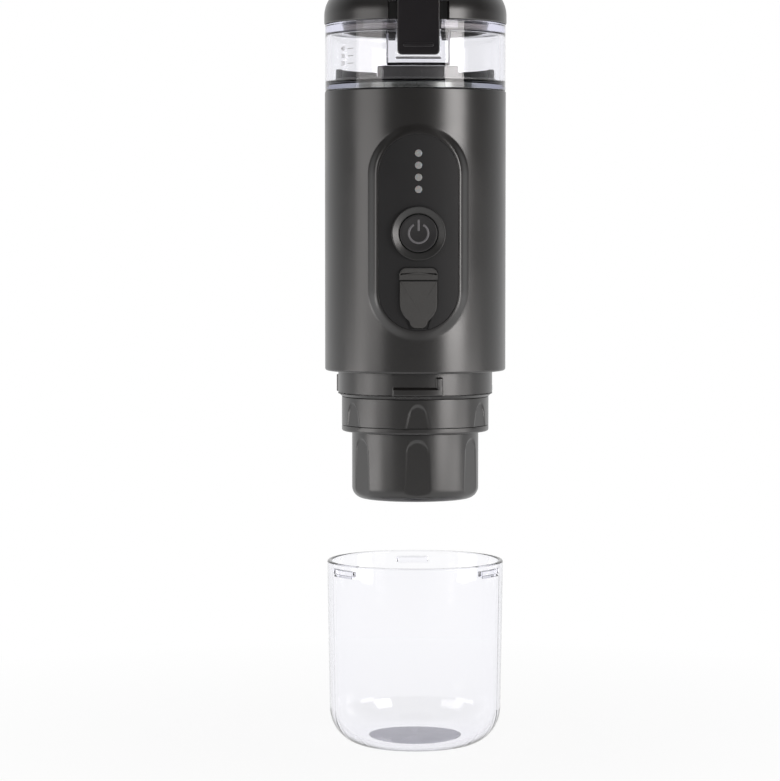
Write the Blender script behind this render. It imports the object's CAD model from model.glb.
"""A portable espresso maker, as photographed: the machine upright over its clear cup.

Shapes are worked out in millimetres and turn into metres when a piece is made. The machine's axis is
the Z axis, its front faces -Y, and the floor is Z = 0. A grid is an array of rows x columns x 3.
"""
import math

import bmesh
import bpy
import numpy as np
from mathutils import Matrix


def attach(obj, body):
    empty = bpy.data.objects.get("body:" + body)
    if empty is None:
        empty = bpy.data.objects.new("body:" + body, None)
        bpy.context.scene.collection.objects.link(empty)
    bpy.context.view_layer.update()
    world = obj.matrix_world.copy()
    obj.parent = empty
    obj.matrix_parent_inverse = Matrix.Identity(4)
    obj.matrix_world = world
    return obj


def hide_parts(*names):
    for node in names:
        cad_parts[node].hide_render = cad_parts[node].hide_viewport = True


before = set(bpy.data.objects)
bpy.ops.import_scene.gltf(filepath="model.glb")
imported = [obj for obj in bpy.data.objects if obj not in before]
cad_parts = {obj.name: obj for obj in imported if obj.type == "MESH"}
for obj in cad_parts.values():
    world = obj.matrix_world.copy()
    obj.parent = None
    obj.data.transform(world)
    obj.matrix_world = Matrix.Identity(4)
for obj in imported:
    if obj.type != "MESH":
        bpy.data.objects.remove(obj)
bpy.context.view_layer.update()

MM = 0.001
FRONT = -math.pi / 2
THIRD = 2 * math.pi / 3

CUP_HEIGHT = 72.5
CUP_RIM_RADIUS = 34.25
CUP_LOW_RADIUS = 33.1
CUP_WALL = 1.75
CUP_CORNER = 14.5
CUP_FLOOR = 2.4
CUP_BOTTOM = 0.3
CUP_HOLLOW = 1.0
CUP_FOOT_RADIUS = 18.15
TAB_RADIUS = 30.3
TAB_BOTTOM = 67.3
TAB_TOP = 70.3
TAB_HALF_ANGLE = math.radians(11.0)

HOLDER_RADIUS = 24.55
HOLDER_BOTTOM = 96.7
CHAMBER_RADIUS = 20.6
CHAMBER_FLOOR = 100.0
OUTLET_RADIUS = 7.5
RIM_SEAT = 127.0
RIM_SEAT_RADIUS = 22.6
LIP_BOTTOM = 122.9
LIP_TOP = 125.2
RING_RADIUS = 28.5
SEAM = 0.12
RING_BOTTOM = LIP_TOP + SEAM
COLLAR_BOTTOM = 136.4
RING_TOP = COLLAR_BOTTOM - SEAM
NECK_WAIST = 24.4
NECK_SHOULDER = 127.6
NECK_RADIUS = 25.9
NECK_TOP = 130.4
FLUTE_DEPTH = 0.6
COLLAR_RADIUS = 29.9
COLLAR_BORE = 20.0
COLLAR_CEILING = 141.5
COLLAR_FLANGE = 31.0
COLLAR_TOP = 151.3
SPIGOT_BOTTOM = 130.9
HOOK_RADIUS = 31.2
HOOK_BOTTOM = 137.8
HOOK_LEDGE = 140.6
HOOK_TOP = 144.6
HOOK_HALF_ANGLE = math.radians(18.0)
HOOK_STOP_ANGLE = math.radians(4.0)
WATER_BORE = 1.5

BARREL_RADIUS = 35.0
BARREL_WALL = 2.0
BARREL_BOTTOM = 146.4
BARREL_FLOOR = 148.8
BARREL_TOP = 254.1
COLLAR_HOLE = 28.6

OVAL_HALF_WIDTH = 16.2
OVAL_SPREAD = 2.6
OVAL_BOTTOM = 161.7
OVAL_TOP = 237.9
OVAL_FRONT = 35.2
OVAL_CURVE = 90.0
WINDOW_HALF_WIDTH = 24.0
WINDOW_MARGIN = 7.0
SEAT_INSET = 1.05
SEAT_DEPTH = 1.32
SEAT_LEDGE = 2.5

PANEL_FRONT = 35.08
BUTTON_HEIGHT = 199.5
BUTTON_RADIUS = 7.15
BUTTON_FACE = PANEL_FRONT + 0.75
BUTTON_DISH = 0.4
DISH_RADIUS = BUTTON_RADIUS - 0.75
BUTTON_BACK = BUTTON_FACE - 2.95
STEM_RADIUS = 1.6
STEM_LENGTH = 1.0
SYMBOL_RADIUS = 3.65
SYMBOL_GAP = math.radians(29.0)
SYMBOL_STROKE = 0.4
BAR_BOTTOM = 0.85
BAR_TOP = 5.15
BEZEL_RADIUS = 10.2
BEZEL_BORE = 7.4
BEZEL_RISE = 1.15
BEZEL_STEP = 0.65
LIGHT_BOTTOM = 216.0
LIGHT_PITCH = 4.53
LIGHT_RADIUS = 1.375
PIPE_RADIUS = 1.1
PIPE_BACK = 28.0
COVER_HALF_WIDTH = 7.05
COVER_BOTTOM = 163.8
COVER_SHOULDER = 169.5
COVER_CREASE = 181.6
COVER_TOP = 186.5
COVER_FRONT = 36.18
COVER_BED = 34.53
LIP_HALF_WIDTH = 2.85
STRAP_TOP = 184.6
HUMP_BOTTOM = 184.0

TANK_RADIUS = 34.85
TANK_WALL = 2.25
TANK_FLOOR = 257.0
TANK_TOP = 279.8
TANK_MOUTH = 28.5
TANK_RIM = 276.3
TANK_HOLE = 22.0
POCKET_HALF_WIDTH = 8.35
POCKET_BACK = 30.9
POCKET_BOTTOM = 265.4
POCKET_WALL = 2.9
POCKET_BACK_WALL = 2.1
POCKET_FLOOR_WALL = 2.3
CATCH_HALF_WIDTH = 6.0
CATCH_BOTTOM = 268.6
CATCH_TOP = 270.0

LID_RADIUS = 35.2
LID_SEAM = 279.9
LID_TOP = 295.6
LID_SHOULDER = 12.0
DOME_RISE = 0.7
LID_WALL = 2.2
RECESS_HALF_WIDTH = 11.3
RECESS_BACK = 30.4
RECESS_TOP = 292.4
RECESS_WALL = 1.4
EAR_INSIDE = 8.25
EAR_FRONT = 34.6
EAR_BOTTOM = 286.5
HINGE_BACK = 36.9
KNUCKLE_RADIUS = 2.9
TANK_KNUCKLE_INSIDE = 5.3
TANK_KNUCKLE_OUTSIDE = 10.5
TANK_KNUCKLE_BOTTOM = 275.6
TANK_KNUCKLE_FOOT = 36.2
LID_KNUCKLE_HALF_WIDTH = 4.9
PIN_BORE = 1.4
LATCH_HALF_WIDTH = 7.95
LATCH_FRONT = 34.7
LATCH_BACK = 32.1
LATCH_BOTTOM = 266.5
LATCH_PIVOT = 288.6
LATCH_AXIS = 33.2
LATCH_EYE = 1.5
GRIP_HALF_WIDTH = 5.8
GRIP_BOTTOM = 269.3
GRIP_TOP = 271.1
GRIP_ROUND = 0.89
CLAW_HALF_WIDTH = 5.6
CLAW_BOTTOM = 267.2
CLAW_TOP = 268.3

MARK_LEVELS = {"40": 269.4, "30": 266.6, "20": 263.8}
MARK_HEIGHT = 2.3
MARK_RISE = 0.03
MARK_DEPTH = 0.05
NUMBER_END = math.radians(-52.2)
TICK_START = math.radians(-49.5)
TICK_SWEEP = math.radians(5.2)
TICK_HALF_HEIGHT = 0.13

# The studio's sizes are in metres
FLOOR_SIZE = 24.0
FLOOR_DROP = -0.0001
LAMP_DISTANCE = 0.62
EYE_DISTANCE = 1.165
EYE_BEARING = math.radians(-2.0)
EYE_HEIGHT = 0.202
EYE_DIP = math.radians(3.126)
EYE_TURN = math.radians(-1.518)


# Shapes


def unit(vector):
    """A vector in the same direction, of length one."""
    return vector / np.linalg.norm(vector)


def rounded(corners, steps=8, closed=False):
    """A line through corners (across, up, radius), with an arc of that radius at each round one.

    The arc starts and ends at radius / tan(half the corner's angle) from the corner, and its points
    turn evenly about its centre from the one end to the other. A corner without a radius stays sharp.
    """
    stretches = []
    for number, corner in enumerate(corners):
        here = np.array(corner[:2], float)
        radius = corner[2] if len(corner) > 2 else 0
        if not radius or (not closed and number in (0, len(corners) - 1)):
            stretches.append(here[None])
            continue
        back = unit(np.array(corners[number - 1][:2], float) - here)
        ahead = unit(np.array(corners[(number + 1) % len(corners)][:2], float) - here)
        half = math.acos(back @ ahead) / 2
        centre = here + unit(back + ahead) * radius / math.sin(half)
        start = here + back * radius / math.tan(half) - centre
        end = here + ahead * radius / math.tan(half) - centre
        turn = math.pi - 2 * half
        share = np.linspace(0, 1, steps + 1)[:, None]
        arc = np.sin((1 - share) * turn) * start + np.sin(share * turn) * end
        stretches.append(centre + arc / math.sin(turn))
    return np.vstack(stretches)


def rounded_box(half_width, bottom, top, low_radius, high_radius, steps=8):
    """A closed outline about the middle, counter-clockwise from its lower left corner."""
    return rounded([(-half_width, bottom, low_radius), (half_width, bottom, low_radius),
                    (half_width, top, high_radius), (-half_width, top, high_radius)],
                   steps, closed=True)


def upright(radius, heights):
    """A stretch of outline that goes straight up or down."""
    return np.stack([np.full_like(heights, radius), heights], axis=1)


def close_by(edge, reach, count):
    """Places set close together on both sides of an edge."""
    return np.linspace(edge - reach, edge + reach, count)


def mirrored(side):
    """Places from the middle outwards, after the same places on the other side."""
    return np.hstack([-side[:0:-1], side])


def ease(share):
    """Rises smoothly from 0 to 1 while its share goes from 0 to 1: 3s^2 - 2s^3, flat outside."""
    share = np.clip(share, 0, 1)
    return share * share * (3 - 2 * share)


def polar(radius, angle, height):
    """Points (r cos a, r sin a, z) from arrays that broadcast together."""
    radius, angle, height = np.broadcast_arrays(radius, angle, height)
    return np.stack([radius * np.cos(angle), radius * np.sin(angle), height], axis=-1)


def swept(outline, angle):
    """An outline (radius, height) turned about Z at these angles."""
    return polar(outline[:, :1], angle, outline[:, 1:])


def turned(outline, columns):
    """An outline turned about Z at evenly spaced angles."""
    return swept(outline, np.linspace(0, 2 * math.pi, columns, endpoint=False)[None])


def repeated(sector, start, count):
    """The angles of one sector's columns, from a start, as many times as it takes to come round."""
    return np.hstack([start + sector + 2 * math.pi / count * number for number in range(count)])


def facing_front(grid, height):
    """Turns a grid made about Z so that its Z axis points out of the front, at a height."""
    return np.stack([grid[..., 0], -grid[..., 2], grid[..., 1] + height], axis=-1)


def sideways(grid, back=0.0):
    """Turns a grid made for the front so that its depth runs along X, moved back along Y."""
    return np.stack([grid[..., 1], grid[..., 0] + back, grid[..., 2]], axis=-1)


def swept_from_front(outline, front_x, count, narrow=0.0):
    """An outline turned about Z: its columns lie at these places across in front, then evenly round.

    Rows narrower than a limit keep that limit's angles, so that they can close up to a pole.
    """
    front_angle = FRONT + np.arcsin(front_x[None] / np.maximum(outline[:, :1], narrow))
    start = front_angle[:, -1:]
    share = np.linspace(0, 1, count)[1:-1]
    round_angle = start + share[None] * (2 * math.pi - 2 * (start - FRONT))
    return swept(outline, np.hstack([front_angle, round_angle]))


def pushed_back(grid, plane, share):
    """A grid whose points in front of Y = -plane go back towards it, by a share from 0 to 1."""
    moved = grid.copy()
    moved[..., 1] += np.clip(-plane - grid[..., 1], 0, None) * share
    return moved


def inside_band(place, edge, softness=0.5):
    """1 where a place is under its edge and 0 past it, eased over the softness."""
    return ease((edge - place) / softness + 0.5)


def outline_rings(outline, insets):
    """Rings inside a closed counter-clockwise outline, each point moved in along its own normal."""
    ahead = np.roll(outline, -1, axis=0) - np.roll(outline, 1, axis=0)
    inward = np.stack([-ahead[:, 1], ahead[:, 0]], axis=1)
    inward /= np.linalg.norm(inward, axis=1, keepdims=True)
    return outline[None] + inward[None] * np.asarray(insets)[:, None, None]


def slab(outline, back, front, edge):
    """A plate with a face (x, z) towards the front, as rings from its back's middle to its front's.

    Round the front edge a ring lies edge * (1 - cos t) in and edge * (1 - sin t) back, as t turns
    from the side to the face. Back and front are distances in front of the machine's axis.
    """
    turn = np.linspace(0, math.pi / 2, 6)
    insets = np.hstack([edge / 2, 0, edge * (1 - np.cos(turn))])
    depths = np.hstack([back, back + edge / 2, front - edge * (1 - np.sin(turn))])
    rings = outline_rings(outline, insets)
    middle = np.repeat(outline.mean(axis=0)[None], len(outline), axis=0)[None]
    face = np.concatenate([middle, rings, middle])
    depth = np.hstack([back, depths, front])[:, None]
    return np.stack([face[..., 0], -np.broadcast_to(depth, face.shape[:2]), face[..., 1]], axis=-1)


def fluted(outline, radius, top, foot_half_width, top_half_width):
    """An outline turned about Z with six arch-topped flutes cut flat into its wall of this radius.

    A flute's half width goes evenly from its foot to its top, and its columns stand at fixed shares
    of it. Inside, the wall gives way to the plane radius - depth, that is (radius - depth) / cos a.
    """
    height = outline[:, 1:]
    climb = np.clip((height - height.min()) / (top - height.min()), 0, 1)
    half = foot_half_width + (top_half_width - foot_half_width) * climb
    shares = np.hstack([np.linspace(0, 0.7, 6), np.linspace(0.78, 1.24, 16)])
    near = np.arcsin(shares[None] * half / radius)
    spare = np.linspace(0, 1, 8)[None, 1:]
    far = near[:, -1:] + spare * (math.pi / 6 - near[:, -1:])
    side = np.hstack([near, far])
    sector = np.hstack([-side[:, :0:-1], side[:, :-1]])
    across = np.abs(radius * np.sin(sector))
    arch = top - top_half_width * (1 - np.sqrt(1 - np.clip(across / half, 0, 1) ** 2))
    inside = inside_band(across, half, 1.3) * inside_band(height, arch, 1.3)
    plane = (radius - FLUTE_DEPTH) / np.cos(sector)
    cut = inside * np.clip(outline[:, :1] - plane, 0, None)
    return polar(outline[:, :1] - np.tile(cut, 6), repeated(sector, FRONT, 6), height)


def ribbon(line, half_width, surface):
    """A printed line: a thin strip along points (x, z), closed at its ends, on Y = surface(x, z)."""
    ahead = np.gradient(line, axis=0)
    beside = np.stack([-ahead[:, 1], ahead[:, 0]], axis=1)
    beside /= np.linalg.norm(beside, axis=1, keepdims=True)
    ends = np.vstack([line[:1], line, line[-1:]])
    reach = np.vstack([beside[:1] * 0, beside, beside[-1:] * 0]) * half_width
    inner = np.hstack([0, np.ones(len(line)), 0])
    rows = []
    for side, rise in ((-1, MARK_RISE), (1, MARK_RISE), (1, -MARK_DEPTH), (-1, -MARK_DEPTH)):
        x, z = (ends + side * reach).T
        rows.append(np.stack([x, surface(x, z) - rise * inner, z], axis=1))
    return np.stack(rows)


def skin(grid, join_rows=False, join_columns=True, keep=None):
    """The points of a grid, row by row, and the four corners' numbers of each of its cells.

    Joined rows or columns go on from the last to the first. Keep marks the cells that stay.
    """
    rows, columns = grid.shape[:2]
    down = np.arange(rows if join_rows else rows - 1)[:, None]
    across = np.arange(columns if join_columns else columns - 1)[None]
    next_down = (down + 1) % rows
    next_across = (across + 1) % columns
    corners = [down * columns + across, down * columns + next_across,
               next_down * columns + next_across, next_down * columns + across]
    quads = np.stack(np.broadcast_arrays(*corners), axis=-1)
    cells = quads.reshape(-1, 4) if keep is None else quads[keep]
    return grid.reshape(-1, 3), cells


# Making pieces


def side_plates(outline, inside, outside, edge):
    """Skins of two plates with faces (y, z), one on each side of the middle."""
    return [skin(sideways(slab(outline, start, end, edge)))
            for start, end in ((inside, outside), (-outside, -inside))]


def weld(name, *skins):
    """One mesh of several skins, joined where they meet."""
    points = []
    quads = []
    start = 0
    for places, cells in skins:
        points.append(places)
        quads.append(cells + start)
        start += len(places)
    mesh = bpy.data.meshes.new(name)
    mesh.from_pydata((np.vstack(points) * MM).tolist(), [], np.vstack(quads).tolist())
    shape = bmesh.new()
    shape.from_mesh(mesh)
    bmesh.ops.remove_doubles(shape, verts=shape.verts, dist=0.002 * MM)
    bmesh.ops.recalc_face_normals(shape, faces=shape.faces)
    shape.to_mesh(mesh)
    shape.free()
    mesh.shade_smooth()
    return mesh


def new_object(name, data):
    """An object with its data, linked to the scene."""
    thing = bpy.data.objects.new(name, data)
    bpy.context.scene.collection.objects.link(thing)
    return thing


def add_piece(mesh, slot, body, *replaced, look=None):
    """Shows a mesh in its own look or its slot's, riding on its body in place of the named nodes."""
    piece = new_object(mesh.name, mesh)
    mesh.materials.append(look or LOOKS[slot])
    shading = piece.modifiers.new("even_shading", "WEIGHTED_NORMAL")
    shading.weight = 80
    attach(piece, body)
    if replaced:
        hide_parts(*replaced)


# Finishes


def feed(tree, node, inputs):
    """Sets a node's inputs to values, or links them to sockets."""
    for label, value in inputs.items():
        if isinstance(value, bpy.types.NodeSocket):
            tree.links.new(value, node.inputs[label])
        else:
            node.inputs[label].default_value = value


def add_node(tree, kind, inputs=None, **settings):
    """A node with its properties set and its inputs fed."""
    node = tree.nodes.new("ShaderNode" + kind)
    for setting, value in settings.items():
        setattr(node, setting, value)
    feed(tree, node, inputs or {})
    return node


def add_noise(tree, scale, detail=2.0, stretch=(1, 1, 1)):
    """Noise on object coordinates, in cells per metre, longer along an axis by its stretch."""
    place = add_node(tree, "TexCoord")
    mapping = add_node(tree, "Mapping", {"Vector": place.outputs["Object"],
                                         "Scale": [1 / share for share in stretch]})
    noise = add_node(tree, "TexNoise", {"Vector": mapping.outputs["Vector"], "Scale": scale,
                                        "Detail": detail})
    return noise.outputs["Fac"]


def add_range(tree, value, low, high, start=0.3, end=0.7):
    """A value carried from start..end to low..high, where low and high are numbers or sockets."""
    carry = add_node(tree, "MapRange", {"Value": value, "From Min": start, "From Max": end,
                                        "To Min": low, "To Max": high})
    return carry.outputs["Result"]


def add_math(tree, operation, first, second):
    """A value worked out from two others by a Math node."""
    return add_node(tree, "Math", {0: first, 1: second}, operation=operation).outputs["Value"]


def split_place(tree, kind="Object"):
    """The sockets X, Y and Z of the place on a piece, or in the world of a ray's direction."""
    place = add_node(tree, "TexCoord")
    return add_node(tree, "SeparateXYZ", {"Vector": place.outputs[kind]}).outputs


def blend_surface(tree, share, first, second):
    """Makes a material's surface out of two shaders, by the second one's share."""
    either = add_node(tree, "MixShader", {0: share, 1: first, 2: second})
    feed(tree, tree.nodes["Material Output"], {"Surface": either.outputs["Shader"]})


def make_moulded_skin():
    """The skin of a moulded part: spark-eroded grain, cloudy gloss and a slight drift in tone."""
    group = bpy.data.node_groups.new("moulded skin", "ShaderNodeTree")
    sockets = {"INPUT": {"Colour": "Color", "Second colour": "Color", "Roughness": "Float",
                         "Rougher": "Float", "Grain": "Float"},
               "OUTPUT": {"Colour": "Color", "Roughness": "Float", "Height": "Float"}}
    for side, kinds in sockets.items():
        for label, kind in kinds.items():
            group.interface.new_socket(label, in_out=side, socket_type="NodeSocket" + kind)
    given = group.nodes.new("NodeGroupInput").outputs
    result = group.nodes.new("NodeGroupOutput")
    cloud = add_noise(group, 55.0, 3.0)
    tone = add_node(group, "Mix", {"Factor": cloud, "A": given["Colour"],
                                   "B": given["Second colour"]}, data_type="RGBA")
    feed(group, result, {"Colour": tone.outputs["Result"],
                         "Roughness": add_range(group, cloud, given["Roughness"], given["Rougher"]),
                         "Height": add_noise(group, given["Grain"])})
    return group


MOULDED_SKIN = make_moulded_skin()


def srgb(red, green, blue):
    """A colour given as screen values from 0 to 255, as linear light with full alpha."""
    share = np.array([red, green, blue]) / 255
    linear = np.where(share <= 0.04045, share / 12.92, ((share + 0.055) / 1.055) ** 2.4)
    return [*linear, 1.0]


def new_finish(name, constants):
    """A material, its node tree and its shader, with constant values set on the shader's own sockets."""
    look = bpy.data.materials.new(name)
    look.use_nodes = True
    shader = look.node_tree.nodes["Principled BSDF"]
    feed(look.node_tree, shader, constants)
    return look, look.node_tree, shader


def moulded(name, colour, second, roughness, rougher, grain, depth, constants=None):
    """A moulded plastic or rubber finish from the shared skin, its grain's depth in millimetres."""
    look, tree, shader = new_finish(name, constants or {})
    surface = add_node(tree, "Group", {"Colour": srgb(*colour), "Second colour": srgb(*second),
                                       "Roughness": roughness, "Rougher": rougher, "Grain": grain},
                       node_tree=MOULDED_SKIN).outputs
    bump = add_node(tree, "Bump", {"Height": surface["Height"], "Distance": depth * MM,
                                   "Strength": 0.6})
    feed(tree, shader, {"Base Color": surface["Colour"], "Roughness": surface["Roughness"],
                        "Normal": bump.outputs["Normal"]})
    return look


def body_plastic():
    """Warm anthracite with a silky painted sheen."""
    return moulded("silky anthracite", (24, 22, 21), (27, 25, 24), 0.28, 0.32, 2600.0, 0.005,
                   {"Specular IOR Level": 0.9})


def panel_plastic():
    """Matt black with a fine grain."""
    return moulded("matt black", (22, 21, 22), (25, 24, 25), 0.47, 0.55, 4200.0, 0.015)


def bezel_plastic():
    """Black bevelled trim with a soft sheen."""
    return moulded("satin black trim", (26, 25, 24), (29, 28, 27), 0.34, 0.40, 3000.0, 0.004,
                   {"Specular IOR Level": 0.8})


def button_plastic():
    """Charcoal key cap."""
    return moulded("charcoal cap", (34, 33, 34), (38, 37, 38), 0.38, 0.46, 4200.0, 0.012)


def latch_plastic():
    """Black, glossier than the body."""
    return moulded("glossy black", (31, 29, 31), (34, 32, 34), 0.16, 0.22, 900.0, 0.002)


def cover_rubber():
    """Soft dark grey rubber."""
    return moulded("soft rubber", (58, 57, 56), (64, 63, 62), 0.62, 0.72, 5200.0, 0.03)


def seal_silicone():
    """Warm grey silicone of the seals."""
    return moulded("grey silicone", (120, 116, 112), (132, 128, 124), 0.48, 0.58, 1500.0, 0.02)


def inner_plastic():
    """Plain black moulding of the inner parts."""
    return moulded("inner black", (34, 33, 33), (42, 41, 40), 0.42, 0.56, 1800.0, 0.02)


def cell_sleeve():
    """Shrink sleeve of the cells, bare of print."""
    return moulded("shrink sleeve", (40, 96, 112), (48, 108, 124), 0.26, 0.34, 700.0, 0.01)


def board_laminate():
    """Green solder mask."""
    return moulded("green laminate", (20, 74, 48), (28, 88, 58), 0.30, 0.40, 1600.0, 0.01)


def led_lens():
    """Milky light pipe, unlit."""
    return moulded("milky lens", (138, 138, 138), (150, 150, 150), 0.28, 0.36, 2400.0, 0.004,
                   {"Subsurface Weight": 0.3, "Subsurface Scale": 0.001})


def symbol_print():
    """Grey ink of the power symbol."""
    return moulded("grey ink", (92, 90, 93), (102, 100, 103), 0.4, 0.5, 3000.0, 0.004)


def mark_print():
    """Pale grey ink of the volume marks."""
    return moulded("pale ink", (168, 164, 166), (178, 174, 176), 0.4, 0.5, 3000.0, 0.004)


def stainless():
    """Stainless steel with a fine brushed grain round the Z axis."""
    look, tree, shader = new_finish("brushed steel", {"Metallic": 1.0})
    grain = add_noise(tree, 1500.0, 3.0, stretch=(1, 1, 0.05))
    tone = add_node(tree, "ValToRGB", {"Fac": grain})
    tone.color_ramp.elements[0].color = srgb(170, 168, 165)
    tone.color_ramp.elements[1].color = srgb(212, 211, 208)
    feed(tree, shader, {"Base Color": tone.outputs["Color"],
                        "Roughness": add_range(tree, grain, 0.22, 0.38)})
    return look


def clear(name, tint, density, roughness, ior):
    """A clear solid: gloss and refraction at its faces, a slight tint in its depth.

    Shadow rays pass through almost unweakened, as light focused by a thin wall would.
    """
    look, tree, shader = new_finish(name, {"Transmission Weight": 1.0, "IOR": ior, "Metallic": 0.0,
                                           "Base Color": (1, 1, 1, 1)})
    film = add_range(tree, add_noise(tree, 90.0), roughness, roughness * 2.5)
    feed(tree, shader, {"Roughness": film})
    pass_through = add_node(tree, "BsdfTransparent", {"Color": (0.93, 0.93, 0.94, 1)})
    rays = add_node(tree, "LightPath")
    blend_surface(tree, rays.outputs["Is Shadow Ray"], shader.outputs["BSDF"],
                  pass_through.outputs["BSDF"])
    depth = add_node(tree, "VolumeAbsorption", {"Color": tint, "Density": density})
    feed(tree, tree.nodes["Material Output"], {"Volume": depth.outputs["Volume"]})
    return look


def clear_plastic(name="clear plastic"):
    """Clear plastic, faintly lavender in its depth."""
    return clear(name, srgb(214, 214, 240), 45.0, 0.01, 1.52)


def tank_plastic():
    """The same clear plastic, smoky in the tank's thick floor and clear above it."""
    look = clear_plastic("clear tank plastic")
    tree = look.node_tree
    above = add_range(tree, split_place(tree)["Z"], 0.0, 1.0, (TANK_FLOOR - 0.2) * MM,
                      (TANK_FLOOR + 0.3) * MM)
    tint = add_node(tree, "Mix", {"Factor": above, "A": srgb(200, 203, 192), "B": (1, 1, 1, 1)},
                    data_type="RGBA")
    feed(tree, tree.nodes["Principled BSDF"], {"Base Color": tint.outputs["Result"]})
    return look


def clear_silicone():
    """Milky silicone of the cup's foot."""
    return moulded("milky pad", (236, 236, 246), (242, 242, 250), 0.3, 0.4, 1500.0, 0.004)


def hose_silicone():
    """Milky silicone of the hoses."""
    return clear("milky silicone", srgb(235, 235, 230), 30.0, 0.25, 1.42)


LOOKS = {make.__name__: make() for make in (
    body_plastic, panel_plastic, bezel_plastic, button_plastic, latch_plastic, cover_rubber,
    seal_silicone, inner_plastic, cell_sleeve, board_laminate, led_lens, stainless, clear_plastic,
    clear_silicone, hose_silicone)}


def dress_nodes():
    """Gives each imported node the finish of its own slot."""
    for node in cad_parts.values():
        slot = node.material_slots[0].material.name
        node.material_slots[0].material = LOOKS[slot]


# Barrel


def oval_face(across, depth=0.0):
    """Y of the oval's curved face, or of a surface that far behind it: part of an upright cylinder."""
    return OVAL_CURVE - OVAL_FRONT - np.sqrt((OVAL_CURVE - depth) ** 2 - across ** 2)


def oval_patch(edge, offsets, surface):
    """Rings from the oval out to the edge of a window in the barrel's grid.

    Each edge point looks at the nearest point of the oval's upright centre line. Along that look a
    ring lies at the oval's half width plus its offset; the last rings close up on the edge evenly.
    Surface gives Y from the place across and the offset.
    """
    edge_x, edge_z = edge.T
    centre_z = np.clip(edge_z, OVAL_BOTTOM + OVAL_HALF_WIDTH, OVAL_TOP - OVAL_HALF_WIDTH)
    reach = np.hypot(edge_x, edge_z - centre_z)
    look_x = edge_x / reach
    look_z = (edge_z - centre_z) / reach
    near = np.repeat((OVAL_HALF_WIDTH + offsets)[:, None], len(edge_x), axis=1)
    share = np.linspace(0, 1, 7)[1:, None]
    far = near[-1:] + share * (reach - near[-1:])
    distance = np.vstack([near, far])
    across = look_x * distance
    height = centre_z + look_z * distance
    return np.stack([across, surface(across, distance - OVAL_HALF_WIDTH), height], axis=-1)


def make_barrel():
    """Barrel with the raised oval, its panel seat and a closed wall.

    The wall is one outline turned about Z. Its front columns stand at even places across instead of
    even angles, so that a window cut in the grid has a straight edge, inside and out. Rings fill each
    window: outside they rise from the barrel's round to the oval's face by a smooth step.
    """
    inside = BARREL_RADIUS - BARREL_WALL
    reach = WINDOW_HALF_WIDTH
    window_low = OVAL_BOTTOM - WINDOW_MARGIN
    window_high = OVAL_TOP + WINDOW_MARGIN
    heights = np.linspace(window_low, window_high, 53)
    outer_foot = rounded([(COLLAR_HOLE, BARREL_BOTTOM), (BARREL_RADIUS, BARREL_BOTTOM, 0.9),
                          (BARREL_RADIUS, window_low)], 6)
    outer_top = rounded([(BARREL_RADIUS, window_high), (BARREL_RADIUS, BARREL_TOP, 0.5),
                         (inside, BARREL_TOP, 0.3), (inside, window_high)], 5)
    inner_foot = rounded([(inside, window_low), (inside, BARREL_FLOOR, 0.8),
                          (COLLAR_HOLE, BARREL_FLOOR)], 5)
    outer_wall = upright(BARREL_RADIUS, heights[1:-1])
    inner_wall = upright(inside, heights[-2:0:-1])
    outline = np.vstack([outer_foot, outer_wall, outer_top, inner_wall, inner_foot])

    front_x = np.linspace(-reach, reach, 45)
    wall = swept_from_front(outline, front_x, 100)

    keep = np.ones(wall.shape[:2], bool)
    outer_start = len(outer_foot) - 1
    inner_start = outer_start + len(outer_wall) + len(outer_top)
    for first in (outer_start, inner_start):
        keep[first:first + len(heights) - 1, :len(front_x) - 1] = False

    foot = upright(window_low, front_x[:-1])[:, ::-1]
    top = upright(window_high, front_x[:0:-1])[:, ::-1]
    edge = np.vstack([foot, upright(reach, heights[:-1]), top, upright(-reach, heights[:0:-1])])
    seat = -SEAT_INSET
    rim = np.array([seat - SEAT_LEDGE, seat - 0.06, seat, seat + 0.1, seat + 0.25])
    offsets = np.hstack([rim, np.linspace(-0.5, OVAL_SPREAD + 0.6, 15)])

    def outer_surface(across, offset):
        barrel = -np.sqrt(BARREL_RADIUS ** 2 - across ** 2)
        rise = 1 - ease((offset + 0.5) / (OVAL_SPREAD + 0.8))
        face = barrel + (oval_face(across) - barrel) * rise
        return np.where(offset < seat - 0.03, oval_face(across, SEAT_DEPTH), face)

    def inner_surface(across, offset):
        return -np.sqrt(inside ** 2 - across ** 2)

    outer = oval_patch(edge, offsets, outer_surface)
    inner = oval_patch(edge, rim[:1], inner_surface)
    throat = np.stack([outer[0], inner[0]])
    mesh = weld("barrel", skin(wall, join_rows=True, keep=keep), skin(outer), skin(inner),
                skin(throat))
    add_piece(mesh, "body_plastic", "machine", "body_shell")


# Controls


def dish(across, height):
    """Y of the button's hollow face: deepest in the middle, level with its rim at the edge."""
    share = np.hypot(across, height - BUTTON_HEIGHT) / DISH_RADIUS
    return -(BUTTON_FACE - BUTTON_DISH * (1 - np.clip(share, 0, 1) ** 2))


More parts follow.
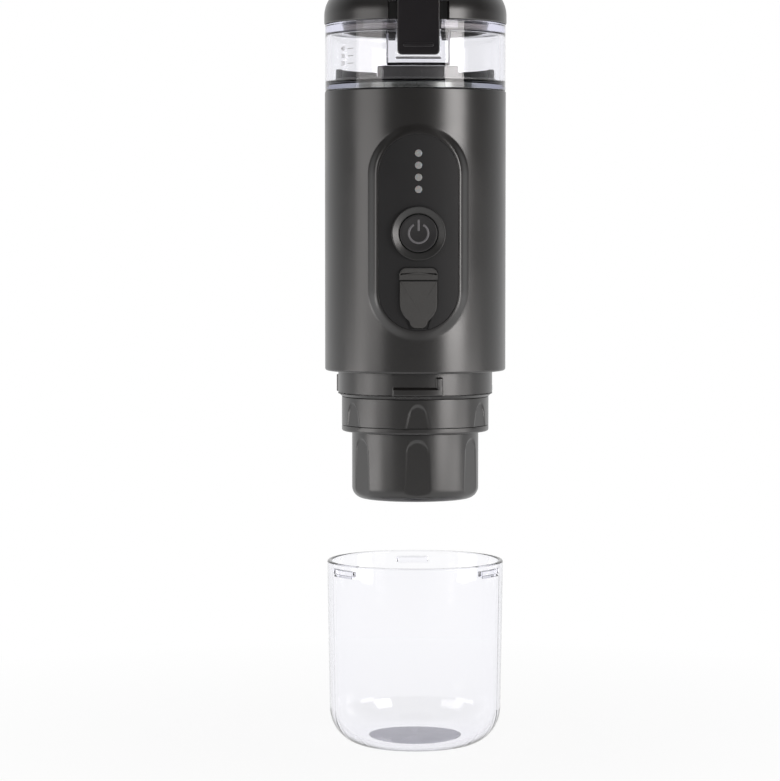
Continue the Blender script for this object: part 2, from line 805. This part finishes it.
def make_button():
    """Dished key cap on its stem, with the power symbol printed in it: an open ring and a bar."""
    across = np.linspace(DISH_RADIUS, 0, 12)
    hollow = np.stack([across, -dish(across, BUTTON_HEIGHT)], axis=1)
    body = rounded([(0, BUTTON_BACK - STEM_LENGTH), (STEM_RADIUS, BUTTON_BACK - STEM_LENGTH),
                    (STEM_RADIUS, BUTTON_BACK), (BUTTON_RADIUS, BUTTON_BACK),
                    (BUTTON_RADIUS, BUTTON_FACE, 0.35), (BUTTON_RADIUS - 0.7, BUTTON_FACE)], 6)
    cap = facing_front(turned(np.vstack([body, hollow]), 96), BUTTON_HEIGHT)
    add_piece(weld("power_key", skin(cap)), "button_plastic", "power_button", "power_button")
    turn = np.linspace(math.pi / 2 + SYMBOL_GAP, math.pi * 5 / 2 - SYMBOL_GAP, 60)
    ring = polar(SYMBOL_RADIUS, turn, 0)[:, :2] + (0, BUTTON_HEIGHT)
    bar = upright(0, BUTTON_HEIGHT + np.linspace(BAR_BOTTOM, BAR_TOP, 8))
    strips = [skin(ribbon(line, SYMBOL_STROKE, dish), join_rows=True, join_columns=False)
              for line in (ring, bar)]
    add_piece(weld("power_symbol", *strips), "button_plastic", "power_button", look=symbol_print())


def make_bezel():
    """Ring round the key with one broad bevel that falls inwards to the key."""
    crest = PANEL_FRONT + BEZEL_RISE
    step = PANEL_FRONT - BEZEL_STEP
    back = PANEL_FRONT - 3
    outline = rounded([(BEZEL_BORE, back), (BEZEL_BORE + 0.3, back), (BEZEL_BORE + 0.3, step),
                       (BEZEL_RADIUS, step), (BEZEL_RADIUS, crest, 0.25),
                       (BEZEL_RADIUS - 0.4, crest, 0.3), (BEZEL_BORE, PANEL_FRONT + 0.1, 0.1)],
                      6, closed=True)
    ring = facing_front(turned(outline, 128), BUTTON_HEIGHT)
    add_piece(weld("key_bezel", skin(ring, join_rows=True)), "bezel_plastic", "machine", "button_bezel")


def make_charge_lights():
    """Four milky light pipes: shallow domes with a small dimple each, and their stems."""
    across = np.linspace(LIGHT_RADIUS - 0.12, 0, 12)
    rise = 0.05 + 0.17 * (1 - (across / LIGHT_RADIUS) ** 2) - 0.09 * (1 - ease(across / 0.5))
    dome = np.stack([across, PANEL_FRONT + rise], axis=1)
    back = PANEL_FRONT - 1.2
    stem = rounded([(0, PIPE_BACK), (PIPE_RADIUS, PIPE_BACK), (PIPE_RADIUS, back),
                    (LIGHT_RADIUS, back), (LIGHT_RADIUS, PANEL_FRONT + 0.05, 0.1),
                    (LIGHT_RADIUS - 0.1, PANEL_FRONT + 0.05)], 3)
    light = turned(np.vstack([stem, dome]), 40)
    pipes = [skin(facing_front(light, LIGHT_BOTTOM + LIGHT_PITCH * number)) for number in range(4)]
    add_piece(weld("charge_lights", *pipes), "led_lens", "machine", "led_lenses")


def make_port_cover():
    """Rubber flap with a pull lip at its foot, and the hump that anchors it above its crease."""
    right = [(LIP_HALF_WIDTH, COVER_BOTTOM, 2.4), (LIP_HALF_WIDTH + 0.55, COVER_BOTTOM + 2.5, 0.3),
             (COVER_HALF_WIDTH, COVER_SHOULDER, 8.5), (COVER_HALF_WIDTH, COVER_CREASE - 0.1, 0.3)]
    left = [(-across, height, radius) for across, height, radius in right[::-1]]
    flap = slab(rounded(right + left, 10, closed=True), COVER_BED + 0.1, COVER_FRONT, 0.35)
    add_piece(weld("port_flap", skin(flap)), "cover_rubber", "port_cover", "port_cover")
    half = COVER_HALF_WIDTH + 0.2
    strap = rounded_box(half, COVER_CREASE + 0.35, STRAP_TOP, 0, 0.4, 5)
    hump = rounded_box(half - 0.1, HUMP_BOTTOM, COVER_TOP, 0.3, 2.5)
    anchor = weld("flap_anchor", skin(slab(strap, COVER_BED, COVER_FRONT - 0.45, 0.2)),
                  skin(slab(hump, COVER_BED, COVER_FRONT, 0.4)))
    add_piece(anchor, "cover_rubber", "machine", "port_cover_anchor")


# Brew head


def make_holder():
    """Holder for the capsule: fluted wall, lip under the ring, neck and bored chamber."""
    wall = rounded([(OUTLET_RADIUS, HOLDER_BOTTOM, 0.5), (HOLDER_RADIUS, HOLDER_BOTTOM, 4.5),
                    (HOLDER_RADIUS, HOLDER_BOTTOM + 5.2)], 12)
    shaft = upright(HOLDER_RADIUS, np.linspace(HOLDER_BOTTOM + 6, LIP_BOTTOM - 0.3, 90))
    head = rounded([(HOLDER_RADIUS, LIP_BOTTOM, 0.25), (RING_RADIUS, LIP_BOTTOM, 0.8),
                    (RING_RADIUS, LIP_TOP, 0.15), (NECK_WAIST, LIP_TOP), (NECK_WAIST, NECK_SHOULDER),
                    (NECK_RADIUS, NECK_SHOULDER), (NECK_RADIUS, NECK_TOP, 0.5),
                    (RIM_SEAT_RADIUS, NECK_TOP), (RIM_SEAT_RADIUS, RIM_SEAT),
                    (CHAMBER_RADIUS, RIM_SEAT), (CHAMBER_RADIUS, CHAMBER_FLOOR, 2.5),
                    (OUTLET_RADIUS, CHAMBER_FLOOR)], 6, closed=True)
    grid = fluted(np.vstack([wall, shaft, head]), HOLDER_RADIUS, top=LIP_BOTTOM - 2.7,
                  foot_half_width=5.4, top_half_width=4.0)
    add_piece(weld("fluted_holder", skin(grid, join_rows=True)), "body_plastic", "holder",
              "capsule_holder")


def make_ring():
    """Coupling ring over the holder's neck, with its own shorter flutes."""
    waist = NECK_WAIST + 0.3
    bore = NECK_RADIUS + 0.3
    shelf = NECK_SHOULDER - 0.3
    foot = rounded([(waist, shelf), (waist, RING_BOTTOM), (RING_RADIUS, RING_BOTTOM, 0.15),
                    (RING_RADIUS, RING_BOTTOM + 0.3)], 5)
    shaft = upright(RING_RADIUS, np.linspace(RING_BOTTOM + 0.5, RING_TOP - 0.7, 48))
    head = rounded([(RING_RADIUS, RING_TOP - 0.3), (RING_RADIUS, RING_TOP, 0.15), (bore, RING_TOP),
                    (bore, shelf)], 5)
    grid = fluted(np.vstack([foot, shaft, head]), RING_RADIUS, top=RING_TOP - 2.3,
                  foot_half_width=4.6, top_half_width=2.6)
    add_piece(weld("fluted_ring", skin(grid, join_rows=True)), "body_plastic", "lock_ring", "lock_ring")


def make_collar():
    """Collar under the barrel, one outline turned about Z, with three hooks that grow out of its wall.

    A hook is a ledge below and a stop wall at its end. Its growth is the larger of the two shares,
    each a band in height times a band in angle.
    """
    wall = upright(COLLAR_RADIUS, np.hstack([
        close_by(HOOK_BOTTOM, 0.3, 7), np.linspace(HOOK_LEDGE - 2.2, HOOK_LEDGE - 0.8, 4),
        close_by(HOOK_LEDGE, 0.6, 11), np.linspace(HOOK_TOP - 3.2, HOOK_TOP - 0.6, 4),
        close_by(HOOK_TOP, 0.3, 7)]))
    foot = rounded([(WATER_BORE, COLLAR_CEILING), (COLLAR_BORE, COLLAR_CEILING, 0.3),
                    (COLLAR_BORE, SPIGOT_BOTTOM, 0.3), (NECK_RADIUS, SPIGOT_BOTTOM, 0.5),
                    (NECK_RADIUS, COLLAR_BOTTOM, 0.3), (COLLAR_RADIUS - 1.4, COLLAR_BOTTOM, 0.3),
                    (COLLAR_RADIUS, COLLAR_BOTTOM + 1.4, 0.5), (COLLAR_RADIUS, HOOK_BOTTOM + 0.2)], 5)
    foot = foot[foot[:, 1] < COLLAR_CEILING + 0.1]
    spigot = COLLAR_HOLE - 0.05
    seam = BARREL_BOTTOM - 0.05
    head = rounded([(COLLAR_RADIUS, HOOK_TOP + 0.6), (COLLAR_RADIUS, seam, 0.1), (spigot, seam, 0.1),
                    (spigot, BARREL_FLOOR, 0.1), (COLLAR_FLANGE, BARREL_FLOOR, 0.2),
                    (COLLAR_FLANGE, COLLAR_TOP, 0.4), (WATER_BORE, COLLAR_TOP, 0.3),
                    (WATER_BORE, COLLAR_CEILING + 1)], 4)
    outline = np.vstack([foot[:-1], wall, head])
    growing = np.zeros((len(outline), 1))
    growing[len(foot) - 1:len(foot) - 1 + len(wall)] = HOOK_RADIUS - COLLAR_RADIUS

    soft = math.radians(1.6)
    stop = HOOK_HALF_ANGLE - HOOK_STOP_ANGLE
    sector = np.hstack([close_by(-HOOK_HALF_ANGLE, soft * 0.6, 9),
                        np.linspace(-HOOK_HALF_ANGLE + soft, stop - soft, 16),
                        close_by(stop, soft * 0.6, 9), close_by(HOOK_HALF_ANGLE, soft * 0.6, 9),
                        np.linspace(HOOK_HALF_ANGLE + soft, THIRD - HOOK_HALF_ANGLE - soft, 40)])
    around = np.tile(sector, 3)[None]
    height = outline[:, 1:]
    above = inside_band(HOOK_BOTTOM, height)
    before_end = inside_band(around, HOOK_HALF_ANGLE, soft)
    ledge = above * inside_band(height, HOOK_LEDGE, 1.0) * inside_band(-HOOK_HALF_ANGLE, around, soft)
    stops = above * inside_band(height, HOOK_TOP) * inside_band(stop, around, soft)
    radius = outline[:, :1] + growing * np.maximum(ledge, stops) * before_end
    grid = polar(radius, repeated(sector, math.radians(30), 3)[None], height)
    add_piece(weld("hooked_collar", skin(grid, join_rows=True)), "body_plastic", "machine",
              "brew_collar")


# Tank and lid


def make_tank():
    """Clear tank turned about Z, pushed back in front into a pocket for the latch.

    Outside, the wall goes back to the pocket's plane above its floor; inside, it goes back further
    and from lower down, which leaves a wall all round the pocket. Two knuckles stand behind.
    """
    inside = TANK_RADIUS - TANK_WALL
    bottom = BARREL_TOP
    outer_wall = upright(TANK_RADIUS, np.hstack([
        np.linspace(bottom + 1, POCKET_BOTTOM - 1, 6), close_by(POCKET_BOTTOM, 0.9, 15),
        np.linspace(POCKET_BOTTOM + 2, TANK_TOP - 1, 8)]))
    inner_wall = upright(inside, np.hstack([
        np.linspace(TANK_RIM - 2, POCKET_BOTTOM - 1, 8),
        np.linspace(POCKET_BOTTOM - 1.2, POCKET_BOTTOM - 3.4, 15),
        np.linspace(TANK_FLOOR + 4.6, TANK_FLOOR + 1.8, 4)]))
    outer = np.vstack([
        rounded([(TANK_HOLE, bottom + 1.3), (TANK_HOLE, bottom, 0.3), (TANK_RADIUS, bottom, 0.4),
                 (TANK_RADIUS, bottom + 0.8)], 5),
        outer_wall,
        rounded([(TANK_RADIUS, TANK_TOP - 0.8), (TANK_RADIUS, TANK_TOP, 0.4),
                 (TANK_MOUTH, TANK_TOP, 0.3), (TANK_MOUTH, TANK_RIM + 1)], 5)])
    inner = np.vstack([
        rounded([(TANK_MOUTH, TANK_RIM + 0.8), (TANK_MOUTH, TANK_RIM, 0.3), (inside, TANK_RIM, 0.8),
                 (inside, TANK_RIM - 1.5)], 5),
        inner_wall,
        rounded([(inside, TANK_FLOOR + 1.5), (inside, TANK_FLOOR, 1.0), (TANK_HOLE, TANK_FLOOR, 0.3),
                 (TANK_HOLE, TANK_FLOOR - 1.3)], 6)])
    outline = np.vstack([outer, inner])
    outer_half = POCKET_HALF_WIDTH + POCKET_WALL
    front_x = mirrored(np.hstack([
        np.linspace(0, POCKET_HALF_WIDTH - 0.6, 24), close_by(POCKET_HALF_WIDTH, 0.4, 13),
        np.linspace(POCKET_HALF_WIDTH + 0.7, outer_half - 1.0, 6), close_by(outer_half, 0.7, 15),
        np.linspace(outer_half + 1.1, 16, 12)]))
    grid = swept_from_front(outline, front_x, 330)
    across = np.abs(grid[..., 0])
    up = grid[..., 2]
    is_outer = np.arange(len(outline))[:, None, None] < len(outer)
    under = POCKET_BOTTOM - POCKET_FLOOR_WALL
    pocket = inside_band(across, POCKET_HALF_WIDTH) * inside_band(POCKET_BOTTOM, up, 1.0)
    bulge = inside_band(across, outer_half, 1.0) * inside_band(under, up, 1.2)
    grid = np.where(is_outer, pushed_back(grid, POCKET_BACK, pocket),
                    pushed_back(grid, POCKET_BACK - POCKET_BACK_WALL, bulge))
    catch = slab(rounded_box(CATCH_HALF_WIDTH, CATCH_BOTTOM, CATCH_TOP, 0.3, 0.3, 4),
                 POCKET_BACK - 0.3, POCKET_BACK + 0.7, 0.2)
    back = HINGE_BACK + KNUCKLE_RADIUS
    front = HINGE_BACK - KNUCKLE_RADIUS
    top = TANK_TOP + KNUCKLE_RADIUS
    knuckle = rounded([(inside + 1, TANK_KNUCKLE_BOTTOM),
                       (TANK_KNUCKLE_FOOT, TANK_KNUCKLE_BOTTOM, 1.2),
                       (back, TANK_KNUCKLE_BOTTOM + 2.6, 1.8), (back, top, KNUCKLE_RADIUS - 0.1),
                       (front, top, KNUCKLE_RADIUS - 0.1), (front, TANK_TOP - 0.5),
                       (inside + 1, TANK_TOP - 0.5)], 6, closed=True)
    knuckles = side_plates(knuckle, TANK_KNUCKLE_INSIDE, TANK_KNUCKLE_OUTSIDE, 0.3)
    add_piece(weld("clear_tank", skin(grid, join_rows=True), skin(catch), *knuckles), "clear_plastic",
              "machine", "tank", look=tank_plastic())


def make_lid():
    """Domed lid turned about Z, pushed back in front into a recess with two ears for the latch's pin.

    Behind it a round hollow clears the tank's knuckles, and the lid's own knuckle stands in it.
    """
    inside = LID_RADIUS - LID_WALL
    ceiling = LID_TOP - LID_WALL
    outer = np.vstack([
        rounded([(inside, LID_SEAM), (LID_RADIUS, LID_SEAM, 0.5), (LID_RADIUS, LID_SEAM + 0.6)], 5),
        upright(LID_RADIUS, np.linspace(LID_SEAM + 0.8, LID_SEAM + 2.9, 9)),
        rounded([(LID_RADIUS, LID_SEAM + 3.1), (LID_RADIUS, LID_TOP - DOME_RISE, LID_SHOULDER),
                 (0, LID_TOP)], 60)])
    inner = np.vstack([
        rounded([(0, ceiling), (inside, ceiling - DOME_RISE, LID_SHOULDER - LID_WALL),
                 (inside, LID_SEAM + 2.1)], 40),
        [(inside, LID_SEAM)]])
    wall_half = RECESS_HALF_WIDTH + 2
    front_x = mirrored(np.hstack([
        np.linspace(0, RECESS_HALF_WIDTH - 0.8, 10), close_by(RECESS_HALF_WIDTH, 0.4, 9),
        close_by(wall_half, 0.8, 9), np.linspace(15, 20, 4)]))
    grids = []
    for outline, half, plane, top in ((outer, RECESS_HALF_WIDTH, RECESS_BACK, RECESS_TOP),
                                      (inner, wall_half, RECESS_BACK - RECESS_WALL,
                                       RECESS_TOP - RECESS_WALL)):
        grid = swept_from_front(outline, front_x, 120, narrow=31.0)
        share = inside_band(np.abs(grid[..., 0]), half) * inside_band(grid[..., 2], top)
        grids.append(pushed_back(grid, plane, share))
    shell = grids[0]
    drop = (KNUCKLE_RADIUS + 0.45) ** 2 - (shell[..., 2] - TANK_TOP) ** 2
    hollow = HINGE_BACK - np.sqrt(np.clip(drop, 0, None))
    shell[..., 1] = np.where(drop > 0, np.minimum(shell[..., 1], hollow), shell[..., 1])
    ear = rounded([(-EAR_FRONT, EAR_BOTTOM, 1.2), (-RECESS_BACK + 0.5, EAR_BOTTOM),
                   (-RECESS_BACK + 0.5, RECESS_TOP - 0.4), (-EAR_FRONT, LATCH_PIVOT + 1.5, 1.4)],
                  6, closed=True)
    ears = side_plates(ear, EAR_INSIDE, RECESS_HALF_WIDTH + 0.1, 0.15)
    half = LID_KNUCKLE_HALF_WIDTH
    front = inside + 0.3
    web = rounded([(front, LID_SEAM + 0.5), (HINGE_BACK, LID_SEAM + 0.5),
                   (HINGE_BACK + 2.5, LID_SEAM + 1.1, 0.4), (LID_RADIUS - 0.6, LID_SEAM + 7.4, 0.5),
                   (front, LID_SEAM + 7.4)], 4, closed=True)
    bored = rounded([(PIN_BORE, -half), (KNUCKLE_RADIUS, -half, 0.3), (KNUCKLE_RADIUS, half, 0.3),
                     (PIN_BORE, half)], 4, closed=True)
    knuckle = sideways(facing_front(turned(bored, 48), TANK_TOP), HINGE_BACK)
    mesh = weld("domed_lid", *map(skin, grids), *ears, skin(sideways(slab(web, -half, half, 0.3))),
                skin(knuckle, join_rows=True))
    add_piece(mesh, "body_plastic", "lid", "lid")


# Latch and graduations


def make_latch():
    """Glossy latch with its grip and claw, as upright rounded rectangles stacked from back to front.

    The bar's top follows the eye round the pin: pivot + sqrt(eye^2 - (distance from the pin)^2).
    """
    edge = 0.45
    turn = np.linspace(0, math.pi / 2, 7)
    depths = np.hstack([LATCH_BACK, np.linspace(LATCH_BACK + 0.3, LATCH_FRONT - edge, 6)[:-1],
                        LATCH_FRONT - edge * (1 - np.sin(turn))])
    insets = np.hstack([0.3, np.zeros(5), edge * (1 - np.cos(turn))])
    rings = []
    for depth, inset in zip(depths, insets):
        top = LATCH_PIVOT + math.sqrt(max(LATCH_EYE ** 2 - (depth - LATCH_AXIS) ** 2, 0))
        face = rounded_box(LATCH_HALF_WIDTH - inset, LATCH_BOTTOM + inset, top, 1.7, 0.3)
        rings.append(np.stack([face[:, 0], np.full(len(face), -depth), face[:, 1]], axis=1))
    middle = (LATCH_BOTTOM + LATCH_PIVOT) / 2
    caps = [np.full_like(rings[0], 0) + (0, -depth, middle) for depth in (LATCH_BACK, LATCH_FRONT)]
    bar = np.stack([caps[0], *rings, caps[1]])
    grip = slab(rounded_box(GRIP_HALF_WIDTH, GRIP_BOTTOM, GRIP_TOP, GRIP_ROUND, GRIP_ROUND),
                LATCH_FRONT - 0.2, LATCH_FRONT + 0.42, 0.3)
    claw = slab(rounded_box(CLAW_HALF_WIDTH, CLAW_BOTTOM, CLAW_TOP, 0.3, 0.1, 4),
                LATCH_BACK - 0.75, LATCH_BACK + 0.2, 0.1)
    add_piece(weld("front_latch", skin(bar), skin(grip), skin(claw)), "latch_plastic", "latch",
              "latch")


def make_graduations():
    """Plain volume marks printed on the left of the tank: a number and a tick at each level.

    A flat letter's place across is an arc length on the tank: angle = across / radius.
    """
    printed = bmesh.new()
    along = FRONT + TICK_START + np.linspace(0, TICK_SWEEP, 6)
    section = rounded_box(MARK_RISE, -TICK_HALF_HEIGHT, TICK_HALF_HEIGHT, 0, 0)
    for volume, level in MARK_LEVELS.items():
        letters = bpy.data.curves.new("volume", "FONT")
        letters.body = volume
        letters.size = MARK_HEIGHT * MM
        letters.extrude = MARK_RISE * MM
        letters.align_x = "RIGHT"
        letters.align_y = "CENTER"
        written = bpy.data.objects.new("volume", letters)
        number = bpy.data.meshes.new_from_object(written)
        bpy.data.objects.remove(written)
        places = np.zeros(len(number.vertices) * 3)
        number.vertices.foreach_get("co", places)
        flat = places.reshape(-1, 3) / MM
        around = FRONT + NUMBER_END + flat[:, 0] / TANK_RADIUS
        bent = polar(TANK_RADIUS + flat[:, 2], around, level + flat[:, 1])
        number.vertices.foreach_set("co", (bent * MM).ravel())
        printed.from_mesh(number)
        tick = polar(TANK_RADIUS + section[:, :1], along[None], level + section[:, 1:])
        printed.from_mesh(weld("tick", skin(tick, join_rows=True, join_columns=False)))
    bmesh.ops.holes_fill(printed, edges=printed.edges, sides=4)
    marks = bpy.data.meshes.new("volume_marks")
    printed.to_mesh(marks)
    printed.free()
    add_piece(marks, "clear_plastic", "machine", look=mark_print())


# Cup


def make_cup():
    """Tumbler of one outline turned about Z, with three tabs that grow inwards from the wall.

    A tab's outline is (how far in, height); it is laid on the inner wall and fades out at its ends
    over half a degree.
    """
    low_inside = CUP_LOW_RADIUS - CUP_WALL
    rim_inside = CUP_RIM_RADIUS - CUP_WALL
    outside = rounded([(0, CUP_HOLLOW), (CUP_FOOT_RADIUS, CUP_HOLLOW, 0.2),
                       (CUP_FOOT_RADIUS, CUP_BOTTOM, 0.2), (CUP_LOW_RADIUS, CUP_BOTTOM, CUP_CORNER),
                       (CUP_RIM_RADIUS, CUP_HEIGHT, 0.75), (rim_inside, CUP_HEIGHT, 0.75),
                       (rim_inside, TAB_TOP + 0.1)], 14)
    tab_reach = rim_inside - TAB_RADIUS
    tab = rounded([(0, TAB_TOP), (tab_reach, TAB_TOP - 0.4, 0.3), (tab_reach, TAB_BOTTOM + 0.8, 0.3),
                   (0, TAB_BOTTOM)], 4)
    inside = rounded([(rim_inside, TAB_BOTTOM - 0.1),
                      (low_inside, CUP_FLOOR, CUP_CORNER - CUP_WALL), (0, CUP_FLOOR)], 20)
    outline = np.vstack([outside, upright(rim_inside, tab[:, 1]), inside])
    growth = np.hstack([np.zeros(len(outside)), tab[:, 0], np.zeros(len(inside))])[:, None]

    fade = math.radians(0.5)
    edge = close_by(TAB_HALF_ANGLE, fade / 2, 5)
    sector = np.hstack([-edge[::-1], np.linspace(-TAB_HALF_ANGLE + fade, TAB_HALF_ANGLE - fade, 13),
                        edge, np.linspace(TAB_HALF_ANGLE + fade, THIRD - TAB_HALF_ANGLE - fade, 40)])
    fullness = inside_band(np.abs(np.tile(sector, 3)), TAB_HALF_ANGLE, fade)[None]
    angle = repeated(sector, math.pi / 2, 3)[None]
    grid = polar(outline[:, :1] - growth * fullness, angle, outline[:, 1:])
    add_piece(weld("clear_cup", skin(grid)), "clear_plastic", "cup", "cup")


# Stage


def make_stage():
    """Pale floor that shows white to the camera and in reflections, and still takes a shadow."""
    half = FLOOR_SIZE / 2
    corners = [(-half, -half, FLOOR_DROP), (half, -half, FLOOR_DROP), (half, half, FLOOR_DROP),
               (-half, half, FLOOR_DROP)]
    mesh = bpy.data.meshes.new("floor")
    mesh.from_pydata(corners, [], [(0, 1, 2, 3)])
    look, tree, shader = new_finish("pale floor", {"Roughness": 0.9,
                                                   "Base Color": (0.86, 0.86, 0.86, 1)})
    glow = add_node(tree, "Emission")
    rays = add_node(tree, "LightPath")
    place = add_node(tree, "TexCoord")
    reach = add_node(tree, "VectorMath", {0: place.outputs["Object"]}, operation="LENGTH")
    open_floor = add_range(tree, reach.outputs["Value"], 0.9, 1.0, 0.06, 0.3)
    behind = add_range(tree, split_place(tree)["Y"], 0.1, 0.9, -0.55, -0.05)
    seen = add_math(tree, "MAXIMUM", rays.outputs["Is Camera Ray"], rays.outputs["Is Transmission Ray"])
    straight = add_math(tree, "MULTIPLY", seen, open_floor)
    glossy = add_math(tree, "MULTIPLY", rays.outputs["Is Glossy Ray"], behind)
    blend_surface(tree, add_math(tree, "MAXIMUM", straight, glossy), shader.outputs["BSDF"],
                  glow.outputs["Emission"])
    mesh.materials.append(look)
    new_object("floor", mesh)


def make_world():
    """White behind the machine, pale overhead, and dim in front of it, where the studio is dark."""
    world = bpy.data.worlds.new("studio")
    bpy.context.scene.world = world
    world.use_nodes = True
    tree = world.node_tree
    place = split_place(tree, "Generated")
    rays = add_node(tree, "LightPath")
    strength = add_math(tree, "MAXIMUM", add_range(tree, place["Y"], 0.05, 1.0, 0.05, 1.0),
                        add_range(tree, place["Z"], 0.0, 0.4, 0.35, 0.85))
    through = add_range(tree, place["Y"], 0.15, 1.0, -0.2, 0.6)
    for kind, value in (("Diffuse", 0.45), ("Transmission", through), ("Camera", 1.0)):
        choice = add_node(tree, "Mix", {"Factor": rays.outputs["Is " + kind + " Ray"], "A": strength,
                                        "B": value}, data_type="FLOAT")
        strength = choice.outputs["Result"]
    feed(tree, tree.nodes["Background"], {"Strength": strength, "Color": (1, 1, 1, 1)})


def add_softbox(name, bearing, low, high, width, radiance):
    """A lamp at a bearing from the front, in degrees towards +X, that faces the machine."""
    lamp = bpy.data.lights.new(name, "AREA")
    lamp.shape = "RECTANGLE"
    lamp.size = width
    lamp.size_y = high - low
    lamp.energy = radiance * math.pi * width * (high - low)
    lamp.color = (1.0, 0.97, 0.955)
    light = new_object(name, lamp)
    turn = math.radians(bearing)
    light.location = (LAMP_DISTANCE * math.sin(turn), -LAMP_DISTANCE * math.cos(turn), (low + high) / 2)
    light.rotation_euler = (math.pi / 2, 0, turn)


def make_lamps():
    """Softboxes beside the camera: a wide left one, a bright right one, and low ones further out."""
    add_softbox("left_softbox", -62, 0.10, 0.42, 0.42, 2.0)
    add_softbox("right_softbox", 48, 0.08, 0.41, 0.28, 6.5)
    add_softbox("low_left_softbox", -82, 0.0, 0.10, 0.36, 3.4)
    add_softbox("low_right_softbox", 74, 0.0, 0.10, 0.26, 3.9)


def make_camera():
    """The photograph's camera: level with the middle of the machine, a little to its left."""
    camera = bpy.data.cameras.new("camera")
    camera.sensor_fit = "HORIZONTAL"
    camera.sensor_width = 36.0
    camera.lens = 138.46
    camera.clip_start = 0.05
    eye = new_object("camera", camera)
    eye.location = (EYE_DISTANCE * math.sin(EYE_BEARING), -EYE_DISTANCE * math.cos(EYE_BEARING),
                    EYE_HEIGHT)
    eye.rotation_euler = (math.pi / 2 - EYE_DIP, 0, EYE_TURN)
    bpy.context.scene.camera = eye


bpy.context.scene.view_settings.view_transform = "Standard"
dress_nodes()
make_barrel()
make_button()
make_bezel()
make_charge_lights()
make_port_cover()
make_holder()
make_ring()
make_collar()
make_tank()
make_lid()
make_latch()
make_graduations()
make_cup()
make_stage()
make_world()
make_lamps()
make_camera()
